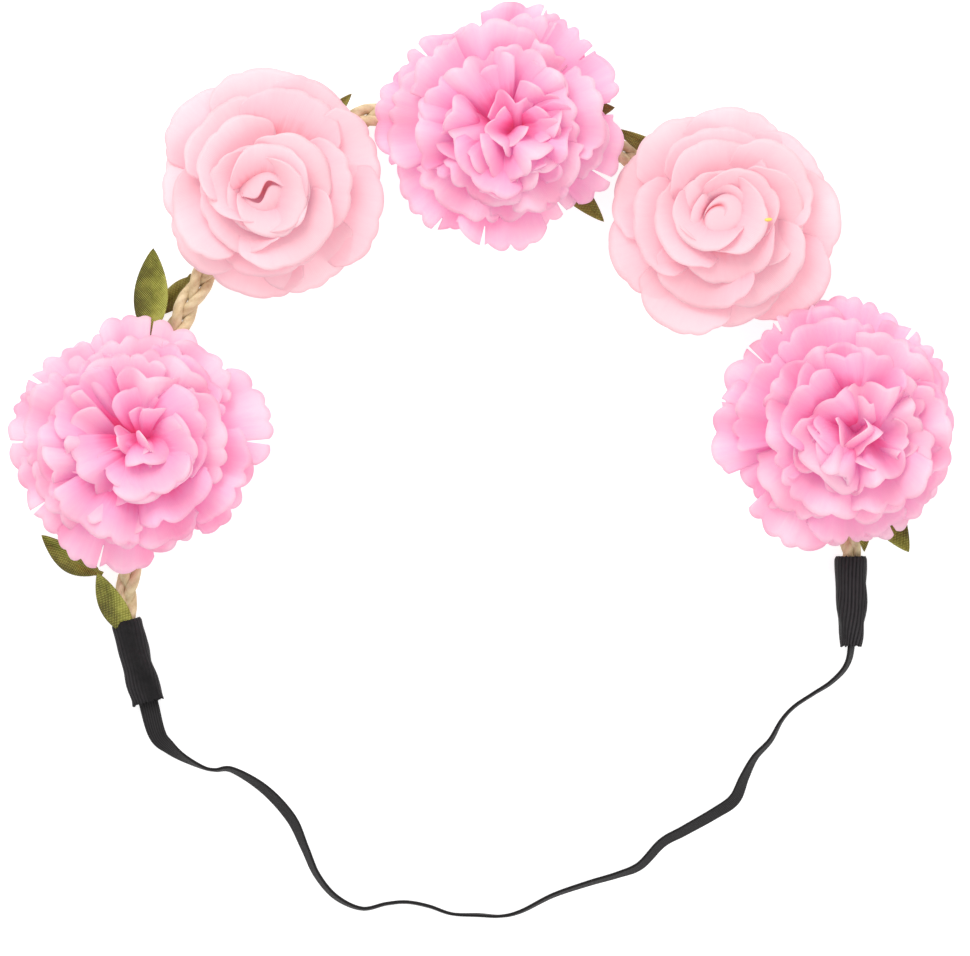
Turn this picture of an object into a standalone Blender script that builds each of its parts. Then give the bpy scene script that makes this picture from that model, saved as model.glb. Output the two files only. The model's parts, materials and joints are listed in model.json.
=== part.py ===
"""Flower crown: five fabric flowers on a three-strand braid that a flat elastic band closes behind the head.

The crown lies flat on a table with its flowers facing up: +X to its right, +Y to the crown's front and +Z up.
Every flower is a body of its own that turns about the braid's own line, and it stands on an empty at that line.
"""

import math

import bmesh
import bpy
from mathutils import Matrix, Vector

MM = 0.001
GAP = 0.3 * MM

# The ring that the braid follows, seen from above, about the ring's centre.
RING_RADIUS = 85.5 * MM
TOP_FLOWER_ANGLE = 88.4

# The braid: three round strands that swing from side to side and over each other. The swing, the lift and
# the length of one full turn follow the strands' radius, so that the strands always clear each other.
STRAND_RADIUS = 0.95 * MM
STRAND_SWING = 2.158 * STRAND_RADIUS
STRAND_LIFT = 1.737 * STRAND_RADIUS
BRAID_PERIOD = 28.42 * STRAND_RADIUS
BRAID_REACH = STRAND_SWING + STRAND_RADIUS
STRAND_STEPS = 9
ROUTE_STEPS = 12

# Flowers: outer radius of each kind, and the clear distance along the braid from one to the next.
CARNATION_RADIUS = 28.5 * MM
ROSE_RADIUS = 26.0 * MM
FLOWER_GAPS = (14.2 * MM, 1.7 * MM, 5.0 * MM, 3.3 * MM)
# Name, kind, how far outside the ring it sits, and its turn about its own axis in degrees.
FLOWERS = (
    ("carnation_left", "carnation", 0.1 * MM, 12.0),
    ("rose_left", "rose", 3.1 * MM, 40.0),
    ("carnation_top", "carnation", -1.0 * MM, 75.0),
    ("rose_right", "rose", -2.6 * MM, 5.0),
    ("carnation_right", "carnation", -1.1 * MM, 150.0),
)
TOP_FLOWER = 2
# How far the braid bows out of the ring between one flower and the next.
BRAID_BOWS = (-1.5 * MM, 6.7 * MM, -0.7 * MM, -0.5 * MM)

# The braid's two free legs: heading in degrees and clear length from the last flower to the sleeve.
LEFT_LEG_HEADING, LEFT_LEG = -93.2, 14.1 * MM
RIGHT_LEG_HEADING, RIGHT_LEG = -83.8, 3.2 * MM

# The sleeves over the joints of braid and elastic, each with a glue plug in its middle. The braid's middle
# stands as high as a sleeve that just holds it.
SLEEVE_LENGTH = 20.3 * MM
SLEEVE_WALL = 0.5 * MM
PLUG_LENGTH = 1.5 * MM
SLEEVE_GRIP = (SLEEVE_LENGTH - PLUG_LENGTH) / 2 - 0.8 * MM
BRAID_HEIGHT = BRAID_REACH + SLEEVE_WALL + 2 * GAP
BRAID_TOP = BRAID_HEIGHT + STRAND_LIFT + STRAND_RADIUS
LEFT_SLEEVE_HEADING, RIGHT_SLEEVE_HEADING = -75.1, -90.0
# Half width, half height and corner radius at the braid's end, the middle and the elastic's end.
LEFT_SLEEVE_SECTIONS = (
    (BRAID_HEIGHT, BRAID_HEIGHT, BRAID_HEIGHT - 0.7 * MM),
    (BRAID_HEIGHT - 0.05 * MM, BRAID_HEIGHT - 0.7 * MM, BRAID_HEIGHT - 1.5 * MM),
    (4.20 * MM, 2.20 * MM, 1.5 * MM),
)
RIGHT_SLEEVE_SECTIONS = (
    (BRAID_HEIGHT, BRAID_HEIGHT, BRAID_HEIGHT - 0.7 * MM),
    (BRAID_HEIGHT - 0.4 * MM, BRAID_HEIGHT - 0.2 * MM, BRAID_HEIGHT - 1.4 * MM),
    (2.40 * MM, 3.30 * MM, 1.6 * MM),
)

# The elastic: a flat band, with its route as shares of the straight line between the sleeves' far ends,
# the distance below that line and the band's turn about its own length in degrees (0 lies flat).
BAND_WIDTH = 4.7 * MM
BAND_THICKNESS = 0.8 * MM
BAND_POINTS = 78
RIGHT_END_TURN = 72.0
BAND_ROUTE = (
    (0.012, 7.8 * MM, 20.0),
    (0.029, 11.2 * MM, 46.0),
    (0.050, 14.1 * MM, 68.0),
    (0.079, 16.9 * MM, 83.0),
    (0.096, 17.7 * MM, 84.0),
    (0.120, 18.0 * MM, 75.0),
    (0.165, 23.2 * MM, 62.0),
    (0.203, 30.7 * MM, 59.0),
    (0.223, 38.2 * MM, 68.0),
    (0.240, 44.9 * MM, 73.0),
    (0.267, 50.6 * MM, 76.0),
    (0.304, 53.9 * MM, 82.0),
    (0.339, 53.2 * MM, 84.0),
    (0.368, 53.2 * MM, 84.0),
    (0.399, 54.6 * MM, 84.0),
    (0.432, 56.9 * MM, 86.0),
    (0.470, 57.7 * MM, 90.0),
    (0.502, 58.4 * MM, 86.0),
    (0.531, 57.6 * MM, 82.0),
    (0.576, 54.4 * MM, 79.0),
    (0.626, 52.2 * MM, 76.0),
    (0.668, 50.7 * MM, 73.0),
    (0.700, 48.9 * MM, 66.0),
    (0.731, 43.9 * MM, 62.0),
    (0.762, 41.4 * MM, 59.0),
    (0.807, 37.7 * MM, 55.0),
    (0.834, 34.8 * MM, 52.0),
    (0.848, 29.7 * MM, 62.0),
    (0.863, 25.1 * MM, 72.0),
    (0.885, 21.3 * MM, 77.0),
    (0.901, 16.7 * MM, 82.0),
    (0.919, 13.6 * MM, 83.0),
    (0.946, 10.9 * MM, 83.0),
    (0.972, 8.4 * MM, 80.0),
    (0.993, 4.8 * MM, 76.0),
)

# A flower's hidden base, on the flower's own axis, above the braid's line.
COLLAR_INNER, COLLAR_OUTER, COLLAR_LENGTH = BRAID_REACH + 0.65 * MM, BRAID_REACH + 1.1 * MM, 12.0 * MM
CALYX_BASE, CALYX_RIM = 3.4 * MM, 5.4 * MM
CALYX_BOTTOM, CALYX_HEIGHT, CALYX_WALL = COLLAR_OUTER + GAP, 2.1 * MM, 0.7 * MM
PEG_RADIUS, PEG_HOLE, PEG_TAPER = 1.2 * MM, 1.6 * MM, 0.85
PEG_SIDES, CALYX_SIDES, COLLAR_SIDES = 12, 14, 18
FIRST_LAYER, LAYER_PITCH = CALYX_BOTTOM + CALYX_HEIGHT + 0.2 * MM, 1.05 * MM
CLOTH = 0.5 * MM

# Petal layers, from the outermost in: radius as a share of the flower's, petals, rise, where the rise ends
# as a share of the layer's radius, how much the rim lifts after that, and the ruffle's height.
CARNATION_LAYERS = (
    ("petals_outer", 1.00, 6, 2.0 * MM, 0.42, -0.6 * MM, 0.9 * MM),
    ("petals_second", 0.93, 6, 5.6 * MM, 0.55, -0.8 * MM, 1.2 * MM),
    ("petals_third", 0.76, 6, 9.6 * MM, 0.60, -0.4 * MM, 1.5 * MM),
    ("petals_core", 0.50, 5, 12.2 * MM, 0.62, 0.8 * MM, 1.6 * MM),
)
ROSE_LAYERS = (
    ("petals_outer", 1.00, 5, 2.6 * MM, 0.45, -0.8 * MM, 0.7 * MM),
    ("petals_second", 0.88, 5, 6.4 * MM, 0.62, -0.6 * MM, 0.8 * MM),
    ("petals_inner", 0.62, 5, 10.2 * MM, 0.72, 0.2 * MM, 0.8 * MM),
)
STEPS_PER_PETAL = 5
NOTCH_DEPTH, NOTCH_POWER = 0.16, 5
# Every layer lies flat for this far round the peg's hole; its profile bends there and at its shoulder.
FLAT_EYE = 1.2 * MM
EYE_SHARE, SHOULDER_SHARE = 0.16, 1.2
BUD_RADIUS, BUD_EYE, BUD_TURNS, BUD_TOP = 8.6 * MM, 2.6 * MM, 2.0, 18.5 * MM
BUD_WALL, BUD_STEPS = 0.7 * MM, 30
BUD_FLARE, BUD_RIM_RISE = 1.04, 1.6 * MM

# Leaves glued under the flowers: flower, name, along the braid and outward from the flower's axis to the
# leaf's foot, the same to its tip, width, neck's share of the length and the tip's drop.
LEAF_THICKNESS = 0.35 * MM
LEAF_HEIGHT = COLLAR_OUTER + 0.55 * MM
LEAF_NECK_WIDTH = 1.6 * MM
FLOWER_LEAVES = (
    (0, "leaf_upper_left", (-5.0, 0.5), (-46.6, 6.4), 8.0, 0.30, 0.4),
    (1, "leaf_top_left", (-5.0, 0.2), (-29.4, 0.8), 4.6, 0.25, 0.0),
    (2, "leaf_top_right", (-5.0, 0.6), (-27.2, 5.7), 6.0, 0.25, 0.0),
    (2, "leaf_inner_right", (-4.6, -2.2), (-28.2, -18.2), 6.0, 0.25, 0.4),
    (3, "leaf_over_braid", (5.0, 0.6), (34.6, -2.6), 5.4, 0.25, 0.0),
    (4, "leaf_lower_right", (-4.6, 2.2), (-32.2, 10.7), 7.0, 0.25, 0.4),
    (4, "leaf_beside_sleeve", (-5.0, 0.6), (-30.0, 1.2), 4.4, 0.25, 0.0),
)
# Leaves glued to the braid itself: name, foot and tip from the left flower's foot in millimetres, along
# the ring's X and Y, height of foot and tip above the braid's top, width and neck's share.
BRAID_LEAVES = (
    ("leaf_lower_left", (-6.4, -33.1), (-23.4, -24.0), (0.7, -3.3), 4.8, 0.22),
    ("leaf_into_sleeve", (-2.4, -41.4), (-8.0, -31.4), (1.45, 1.45), 5.0, 0.05),
    ("leaf_behind_braid", (15.6, 43.0), (7.6, 31.2), (-6.5, -6.5), 3.6, 0.10),
)

PETAL_PINK = (0.955, 0.42, 0.66, 1.0)
BLUSH_PINK = (0.985, 0.70, 0.74, 1.0)
LEAF_GREEN = (0.30, 0.29, 0.085, 1.0)
BRAID_TAN = (0.62, 0.40, 0.22, 1.0)
SLEEVE_BLACK = (0.026, 0.022, 0.027, 1.0)
BAND_BLACK = (0.045, 0.043, 0.043, 1.0)
GLUE_CLEAR = (0.80, 0.72, 0.50, 1.0)
CALYX_GREEN = (0.12, 0.25, 0.08, 1.0)


# ---------------------------------------------------------------- scene and helpers


def clear_scene():
    for thing in list(bpy.data.objects):
        bpy.data.objects.remove(thing, do_unlink=True)


def new_collection(name):
    found = bpy.data.collections.new(name)
    bpy.context.scene.collection.children.link(found)
    return found


def principled(name, colour, roughness, metallic=0.0):
    material = bpy.data.materials.new(name)
    material.use_nodes = True
    shader = material.node_tree.nodes["Principled BSDF"]
    shader.inputs["Base Color"].default_value = colour
    shader.inputs["Roughness"].default_value = roughness
    shader.inputs["Metallic"].default_value = metallic
    return material


def add_object(name, data, material, parent, matrix=None):
    """Puts mesh or curve data in the crown's collection, under its parent, at a matrix of the parent's space."""
    thing = bpy.data.objects.new(name, data)
    data.materials.append(material)
    CROWN.objects.link(thing)
    thing.parent = parent
    thing.matrix_local = matrix or Matrix.Identity(4)
    return thing


def add_empty(name, parent=None, matrix=None):
    empty = bpy.data.objects.new(name, None)
    empty.empty_display_size = 5 * MM
    CROWN.objects.link(empty)
    empty.parent = parent
    empty.matrix_local = matrix or Matrix.Identity(4)
    return empty


def mesh_from(bm, name, smooth=True):
    mesh = bpy.data.meshes.new(name)
    bm.to_mesh(mesh)
    bm.free()
    if smooth:
        mesh.shade_smooth()
        mesh.set_sharp_from_angle(angle=math.radians(40))
    return mesh


def solidify(thing, thickness, offset=0.0):
    shell = thing.modifiers.new("cloth", "SOLIDIFY")
    shell.thickness = thickness
    shell.offset = offset
    shell.use_even_offset = True
    return thing


def screw(thing, steps, axis="Z"):
    turned = thing.modifiers.new("turned", "SCREW")
    turned.axis = axis
    turned.steps = steps
    turned.render_steps = steps
    turned.use_merge_vertices = True
    turned.merge_threshold = 0.00001
    return thing


def smoothstep(x):
    x = min(max(x, 0.0), 1.0)
    return x * x * (3 - 2 * x)


def heading(degrees):
    """A unit vector on the table, counted anticlockwise from +X."""
    return Vector((math.cos(math.radians(degrees)), math.sin(math.radians(degrees)), 0))


def smooth_route(points, steps):
    """Points of a smooth curve through the given ones, a Catmull-Rom span of steps points after each."""
    padded = [2 * points[0] - points[1], *points, 2 * points[-1] - points[-2]]
    found = []
    for before, start, end, after in zip(padded, padded[1:], padded[2:], padded[3:]):
        for step in range(steps):
            t = step / steps
            found.append(
                0.5
                * (
                    2 * start
                    + t * (end - before)
                    + t * t * (2 * before - 5 * start + 4 * end - after)
                    + t * t * t * (3 * start - before - 3 * end + after)
                )
            )
    return [*found, points[-1]]


def spaced(points, count):
    """The same polyline with count points at equal distances along it."""
    lengths = [0.0]
    for a, b in zip(points, points[1:]):
        lengths.append(lengths[-1] + (b - a).length)
    found, span = [], 0
    for k in range(count):
        wanted = lengths[-1] * k / (count - 1)
        while span < len(points) - 2 and lengths[span + 1] < wanted:
            span += 1
        share = (wanted - lengths[span]) / (lengths[span + 1] - lengths[span])
        found.append(points[span].lerp(points[span + 1], share))
    return found


def length_of(points):
    return sum((b - a).length for a, b in zip(points, points[1:]))


def tangent(points, k):
    return (points[min(k + 1, len(points) - 1)] - points[max(k - 1, 0)]).normalized()


def poly_curve(name, points, bevel_depth, bevel_resolution, extrude=0.0, tilts=None):
    curve = bpy.data.curves.new(name, "CURVE")
    curve.dimensions = "3D"
    curve.twist_mode = "Z_UP"
    curve.bevel_depth = bevel_depth
    curve.bevel_resolution = bevel_resolution
    curve.extrude = extrude
    curve.use_fill_caps = True
    curve.render_resolution_u = 0
    spline = curve.splines.new("POLY")
    spline.points.add(len(points) - 1)
    for k, place in enumerate(points):
        spline.points[k].co = (*place, 1.0)
        if tilts:
            spline.points[k].tilt = tilts[k]
    return curve


# ---------------------------------------------------------------- where things stand


def flower_radius(kind):
    return CARNATION_RADIUS if kind == "carnation" else ROSE_RADIUS


def flower_angles():
    """Walks both ways round the ring from the top flower, by the flowers' radii and the gaps between them."""
    angles = [TOP_FLOWER_ANGLE] * len(FLOWERS)
    for k in range(TOP_FLOWER - 1, -1, -1):
        angles[k] = angles[k + 1] + step_angle(k)
    for k in range(TOP_FLOWER + 1, len(FLOWERS)):
        angles[k] = angles[k - 1] - step_angle(k - 1)
    return angles


def step_angle(k):
    chord = flower_radius(FLOWERS[k][1]) + flower_radius(FLOWERS[k + 1][1]) + FLOWER_GAPS[k]
    return math.degrees(2 * math.asin(chord / 2 / RING_RADIUS))


def flower_places():
    return [heading(a) * (RING_RADIUS + flower[2]) for a, flower in zip(flower_angles(), FLOWERS)]


def sleeve_mouths():
    """Where the braid enters each sleeve, left then right."""
    places = flower_places()
    left = places[0] + heading(LEFT_LEG_HEADING) * (flower_radius(FLOWERS[0][1]) + LEFT_LEG)
    right = places[-1] + heading(RIGHT_LEG_HEADING) * (flower_radius(FLOWERS[-1][1]) + RIGHT_LEG)
    return left, right


def braid_line():
    """The braid's centre line from inside the left sleeve, over the flowers' feet, to inside the right one."""
    angles, places = flower_angles(), flower_places()
    left, right = sleeve_mouths()
    points = [left + heading(LEFT_SLEEVE_HEADING) * SLEEVE_GRIP, left, left.lerp(places[0], 0.5)]
    for k, place in enumerate(places):
        points.append(place)
        if k < len(BRAID_BOWS):
            points.append(heading((angles[k] + angles[k + 1]) / 2) * (RING_RADIUS + BRAID_BOWS[k]))
    points += [right.lerp(places[-1], 0.5), right, right + heading(RIGHT_SLEEVE_HEADING) * SLEEVE_GRIP]
    return smooth_route([p + Vector((0, 0, BRAID_HEIGHT)) for p in points], ROUTE_STEPS)


def nearest(points, place):
    return min(range(len(points)), key=lambda k: (points[k].xy - place.xy).length)


# ---------------------------------------------------------------- the braid and the elastic


def strand_points(line, phase):
    """One strand: a figure of eight across the braid's line, one turn of it in each period."""
    count = max(12, round(length_of(line) / BRAID_PERIOD * STRAND_STEPS))
    centres = spaced(line, count + 1)
    turns = length_of(line) / BRAID_PERIOD
    found = []
    for k, centre in enumerate(centres):
        t = 2 * math.pi * (turns * k / count + phase)
        side = Vector((0, 0, 1)).cross(tangent(centres, k))
        up = Vector((0, 0, STRAND_LIFT * math.sin(2 * t)))
        found.append(centre + side * STRAND_SWING * math.sin(t) + up)
    return found


def make_strands(parent):
    line = braid_line()
    for name, phase in (("braid_strand_a", 0), ("braid_strand_b", 1 / 3), ("braid_strand_c", 2 / 3)):
        curve = poly_curve(name, strand_points(line, phase), STRAND_RADIUS, 1)
        add_object(name, curve, BRAID_CORD, parent)


def band_line():
    """The elastic's points and turns, from inside the left sleeve to inside the right one."""
    left, right = sleeve_mouths()
    left_end = left + heading(LEFT_SLEEVE_HEADING) * SLEEVE_LENGTH
    right_end = right + heading(RIGHT_SLEEVE_HEADING) * SLEEVE_LENGTH
    across = right_end - left_end
    points = [left_end - heading(LEFT_SLEEVE_HEADING) * SLEEVE_GRIP, left_end]
    turns = [0.0, 0.0]
    for share, below, turn in BAND_ROUTE:
        points.append(left_end + across * share - Vector((0, below, 0)))
        turns.append(turn)
    points += [right_end, right_end - heading(RIGHT_SLEEVE_HEADING) * SLEEVE_GRIP]
    turns += [RIGHT_END_TURN, RIGHT_END_TURN]
    heights = [LEFT_SLEEVE_SECTIONS[-1][1]] * 2
    heights += [band_height(turn) for turn in turns[2:-2]]
    heights += [RIGHT_SLEEVE_SECTIONS[-1][1]] * 2
    rows = [Vector((p.x, p.y, h)) for p, h in zip(points, heights)]
    fine = smooth_route(rows, ROUTE_STEPS)
    turned = smooth_route([Vector((turn, 0, 0)) for turn in turns], ROUTE_STEPS)
    places = spaced(fine, BAND_POINTS)
    picked = [turned[min(range(len(fine)), key=lambda k: (fine[k] - p).length)].x for p in places]
    return places, [math.radians(turn - 90) for turn in picked]


def band_height(turn):
    """How high the turned band's middle stands, with its lower edge just off the table."""
    lean = math.radians(turn)
    half = BAND_WIDTH / 2 * abs(math.sin(lean)) + BAND_THICKNESS / 2 * abs(math.cos(lean))
    return half + GAP


def make_band(parent):
    places, turns = band_line()
    edge = BAND_THICKNESS / 2
    curve = poly_curve("elastic_band", places, edge, 0, BAND_WIDTH / 2 - edge, turns)
    add_object("elastic_band", curve, ELASTIC, parent)


def sleeve_ring(bm, half_width, half_height, corner, along, corner_steps=4):
    """A rounded rectangle whose underside lies on the table, across a sleeve that runs along +X."""
    found = []
    for quarter in range(4):
        side = (1, -1, -1, 1)[quarter]
        top = (1, 1, -1, -1)[quarter]
        for step in range(corner_steps + 1):
            turn = math.radians(90 * (quarter + step / corner_steps))
            y = side * (half_width - corner) + corner * math.cos(turn)
            z = half_height + top * (half_height - corner) + corner * math.sin(turn)
            found.append(bm.verts.new((along, y, z)))
    return [bm.edges.new((a, b)) for a, b in zip(found, found[1:] + found[:1])]


def make_sleeve(name, mouth, degrees, sections, parent):
    bm = bmesh.new()
    count = len(sections) - 1
    rings = []
    for k, (half_width, half_height, corner) in enumerate(sections):
        rings.append(sleeve_ring(bm, half_width, half_height, corner, SLEEVE_LENGTH * k / count))
    for a, b in zip(rings, rings[1:]):
        bmesh.ops.bridge_loops(bm, edges=a + b)
    bmesh.ops.recalc_face_normals(bm, faces=bm.faces)
    place = Matrix.Translation(mouth) @ Matrix.Rotation(math.radians(degrees), 4, "Z")
    sleeve = add_object(name, mesh_from(bm, name), SLEEVE_WRAP, parent, place)
    solidify(sleeve, SLEEVE_WALL, -1.0)
    return place


def make_plug(name, place, sections, parent):
    """The hot glue between the ends of braid and elastic, in the sleeve's middle."""
    half_width, half_height, corner = sections[1]
    room = SLEEVE_WALL + 2 * GAP
    bm = bmesh.new()
    bmesh.ops.create_cube(bm, size=1.0)
    size = (PLUG_LENGTH, 2 * (half_width - room), 2 * (half_height - room))
    bmesh.ops.scale(bm, vec=size, verts=bm.verts)
    corners = [e for e in bm.edges if abs(e.verts[0].co.x - e.verts[1].co.x) > PLUG_LENGTH / 2]
    bmesh.ops.bevel(bm, geom=corners, offset=corner - room / 2, segments=3, affect="EDGES")
    middle = place @ Matrix.Translation((SLEEVE_LENGTH / 2, 0, half_height))
    add_object(name, mesh_from(bm, name), HOT_GLUE, parent, middle)


def make_sleeves(parent):
    left, right = sleeve_mouths()
    place = make_sleeve("sleeve_left", left, LEFT_SLEEVE_HEADING, LEFT_SLEEVE_SECTIONS, parent)
    make_plug("glue_plug_left", place, LEFT_SLEEVE_SECTIONS, parent)
    place = make_sleeve("sleeve_right", right, RIGHT_SLEEVE_HEADING, RIGHT_SLEEVE_SECTIONS, parent)
    make_plug("glue_plug_right", place, RIGHT_SLEEVE_SECTIONS, parent)


# ---------------------------------------------------------------- leaves


def leaf_curve(name, length, width, neck_share):
    """A pointed leaf on a narrow neck, flat, with its foot at the origin and its tip at +X."""
    curve = bpy.data.curves.new(name, "CURVE")
    curve.dimensions = "2D"
    curve.fill_mode = "BOTH"
    curve.extrude = LEAF_THICKNESS / 2
    edge = [(0.0, LEAF_NECK_WIDTH / 2)]
    for k in range(8):
        share = k / 8
        half = width / 2 * math.sin(math.pi * share**0.85) ** 0.9
        edge.append((length * (neck_share + (1 - neck_share) * share), max(half, LEAF_NECK_WIDTH / 2)))
    outline = edge + [(length, 0.0)] + [(x, -y) for x, y in reversed(edge)]
    spline = curve.splines.new("POLY")
    spline.points.add(len(outline) - 1)
    for point, (x, y) in zip(spline.points, outline):
        point.co = (x, y, 0, 1)
    spline.use_cyclic_u = True
    return curve


def leaf_matrix(foot, tip):
    """Lays a leaf from its foot to its tip with its face as level as that allows."""
    along = (tip - foot).normalized()
    across = Vector((0, 0, 1)).cross(along).normalized()
    turn = Matrix((along, across, along.cross(across))).transposed().to_4x4()
    return Matrix.Translation(foot) @ turn


def make_flower_leaf(name, foot, tip, width, neck_share, drop, parent):
    """Foot and tip are along the braid and outward, in millimetres; the flower's own +Y points inward."""
    start = Vector((foot[0] * MM, -foot[1] * MM, LEAF_HEIGHT))
    end = Vector((tip[0] * MM, -tip[1] * MM, LEAF_HEIGHT - drop * MM))
    curve = leaf_curve(name, (end - start).length, width * MM, neck_share)
    add_object(name, curve, LEAF_SATIN, parent, leaf_matrix(start, end))


def make_braid_leaves(parent):
    base = flower_places()[0] + Vector((0, 0, BRAID_TOP))
    for name, foot, tip, heights, width, neck_share in BRAID_LEAVES:
        start = base + Vector((foot[0], foot[1], heights[0])) * MM
        end = base + Vector((tip[0], tip[1], heights[1])) * MM
        curve = leaf_curve(name, (end - start).length, width * MM, neck_share)
        add_object(name, curve, LEAF_SATIN, parent, leaf_matrix(start, end))


# ---------------------------------------------------------------- flowers


def layer_height(radius, layer_radius, level, rise, peak_share, lift):
    """The middle surface of a petal layer: a flat eye, a rise to its shoulder and a rim after that."""
    start, peak = PEG_HOLE + FLAT_EYE, layer_radius * peak_share
    height = FIRST_LAYER + LAYER_PITCH * level
    height += rise * smoothstep((radius - start) / (peak - start))
    if radius > peak:
        height += lift * ((radius - peak) / (layer_radius - peak)) ** 2
    return height


def make_petal_layer(name, flower_size, level, layer, cloth, parent, turn):
    """One stamped layer of cloth: a profile spun round the flower's axis, then notched and ruffled."""
    _, share, petals, rise, peak_share, lift, ruffle = layer
    outer = flower_size * share
    bm = bmesh.new()
    stations = (0.0, EYE_SHARE, SHOULDER_SHARE * peak_share, 1.0)
    radii = [PEG_HOLE + (outer - PEG_HOLE) * station for station in stations]
    line = [
        bm.verts.new((r, 0, layer_height(r, outer, level, rise, peak_share, lift))) for r in radii
    ]
    edges = [bm.edges.new(pair) for pair in zip(line, line[1:])]
    steps = petals * STEPS_PER_PETAL
    bmesh.ops.spin(bm, geom=line + edges, cent=(0, 0, 0), axis=(0, 0, 1), angle=2 * math.pi, steps=steps)
    bmesh.ops.remove_doubles(bm, verts=bm.verts, dist=0.02 * MM)
    for vert in bm.verts:
        radius = vert.co.xy.length
        reach = (radius - PEG_HOLE) / (outer - PEG_HOLE)
        phase = (math.atan2(vert.co.y, vert.co.x) / (2 * math.pi) * petals + 1e-6) % 1.0
        notch = NOTCH_DEPTH * abs(2 * phase - 1) ** NOTCH_POWER * reach**2
        wave = math.cos(4 * math.pi * phase) + 0.5 * math.cos(2 * math.pi * phase)
        vert.co.xy *= 1 - notch
        vert.co.z += ruffle * reach**2 * wave / 1.5
    place = Matrix.Rotation(math.radians(turn + level * 180 / petals), 4, "Z")
    shell = add_object(name, mesh_from(bm, name), cloth, parent, place)
    solidify(shell, CLOTH)


def make_rose_bud(name, parent, turn):
    """The rolled strip in a rose's middle: an upright spiral wall that stands in the inner petals' cup."""
    inner = ROSE_LAYERS[-1]
    inner_radius = ROSE_RADIUS * inner[1]
    bm = bmesh.new()
    low, high = [], []
    for k in range(BUD_STEPS + 1):
        share = k / BUD_STEPS
        angle = 2 * math.pi * BUD_TURNS * share
        radius = BUD_EYE + (BUD_RADIUS - BUD_EYE) * share
        seat = layer_height(radius, inner_radius, len(ROSE_LAYERS) - 1, inner[3], inner[4], inner[5])
        x, y = radius * math.cos(angle), radius * math.sin(angle)
        low.append(bm.verts.new((x, y, seat + CLOTH / 2 + 3 * GAP)))
        high.append(bm.verts.new((x * BUD_FLARE, y * BUD_FLARE, BUD_TOP + BUD_RIM_RISE * share**2)))
    for k in range(BUD_STEPS):
        bm.faces.new((low[k], low[k + 1], high[k + 1], high[k]))
    place = Matrix.Rotation(math.radians(turn), 4, "Z")
    bud = add_object(name, mesh_from(bm, name), BLUSH_CLOTH, parent, place)
    solidify(bud, BUD_WALL)


def profile_mesh(name, outline, closed):
    """An edge loop in the XZ plane, for a Screw."""
    bm = bmesh.new()
    line = [bm.verts.new((x, 0, z)) for x, z in outline]
    for a, b in zip(line, line[1:] + (line[:1] if closed else [])):
        bm.edges.new((a, b))
    return mesh_from(bm, name, smooth=False)


def make_collar(name, parent):
    half = COLLAR_LENGTH / 2
    outline = ((-half, COLLAR_INNER), (half, COLLAR_INNER), (half, COLLAR_OUTER), (-half, COLLAR_OUTER))
    screw(add_object(name, profile_mesh(name, outline, True), HOT_GLUE, parent), COLLAR_SIDES, "X")


def make_calyx(name, parent):
    top, floor = CALYX_BOTTOM + CALYX_HEIGHT, CALYX_BOTTOM + CALYX_WALL
    outline = (
        (0, floor),
        (CALYX_BASE - CALYX_WALL, floor),
        (CALYX_RIM - CALYX_WALL, top),
        (CALYX_RIM, top),
        (CALYX_BASE, CALYX_BOTTOM),
        (0, CALYX_BOTTOM),
    )
    screw(add_object(name, profile_mesh(name, outline, False), CALYX_PLASTIC, parent), CALYX_SIDES)


def make_peg(name, layers, parent):
    low = CALYX_BOTTOM + CALYX_WALL + GAP
    high = FIRST_LAYER + LAYER_PITCH * layers
    bm = bmesh.new()
    bmesh.ops.create_cone(
        bm, cap_ends=True, segments=PEG_SIDES, radius1=PEG_RADIUS, radius2=PEG_RADIUS * PEG_TAPER, depth=high - low
    )
    place = Matrix.Translation((0, 0, (low + high) / 2))
    add_object(name, mesh_from(bm, name), CALYX_PLASTIC, parent, place)


def make_flower(k, pivot):
    name, kind, _, turn = FLOWERS[k]
    layers = CARNATION_LAYERS if kind == "carnation" else ROSE_LAYERS
    cloth = CARNATION_CLOTH if kind == "carnation" else BLUSH_CLOTH
    make_collar(f"{name}_glue_collar", pivot)
    make_calyx(f"{name}_calyx", pivot)
    make_peg(f"{name}_peg", len(layers), pivot)
    for level, layer in enumerate(layers):
        make_petal_layer(f"{name}_{layer[0]}", flower_radius(kind), level, layer, cloth, pivot, turn)
    if kind == "rose":
        make_rose_bud(f"{name}_bud", pivot, turn)
    for flower, leaf, *shape in FLOWER_LEAVES:
        if flower == k:
            make_flower_leaf(leaf, *shape, pivot)


def make_flowers(parent):
    """Each flower stands on an empty whose +X is its hinge, along the braid, and whose +Y points inward."""
    line = braid_line()
    for k, place in enumerate(flower_places()):
        nearby = nearest(line, place)
        along = -tangent(line, nearby)
        inward = Vector((0, 0, 1)).cross(along)
        turn = Matrix((along, inward, Vector((0, 0, 1)))).transposed().to_4x4()
        foot = Matrix.Translation(place + Vector((0, 0, BRAID_HEIGHT)))
        make_flower(k, add_empty(f"{FLOWERS[k][0]}_pivot", parent, foot @ turn))


def centre_on_origin(root, left_out):
    """Moves the crown so that its box, measured without the free elastic, is centred over the origin."""
    graph = bpy.context.evaluated_depsgraph_get()
    low, high = Vector((9, 9, 9)), Vector((-9, -9, -9))
    for thing in CROWN.objects:
        if thing.type == "EMPTY" or thing.name == left_out:
            continue
        mesh = thing.evaluated_get(graph).to_mesh()
        for vert in mesh.vertices:
            place = thing.matrix_world @ vert.co
            low = Vector(map(min, low, place))
            high = Vector(map(max, high, place))
        thing.evaluated_get(graph).to_mesh_clear()
    root.location = (-(low.x + high.x) / 2, -(low.y + high.y) / 2, -low.z)


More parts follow.
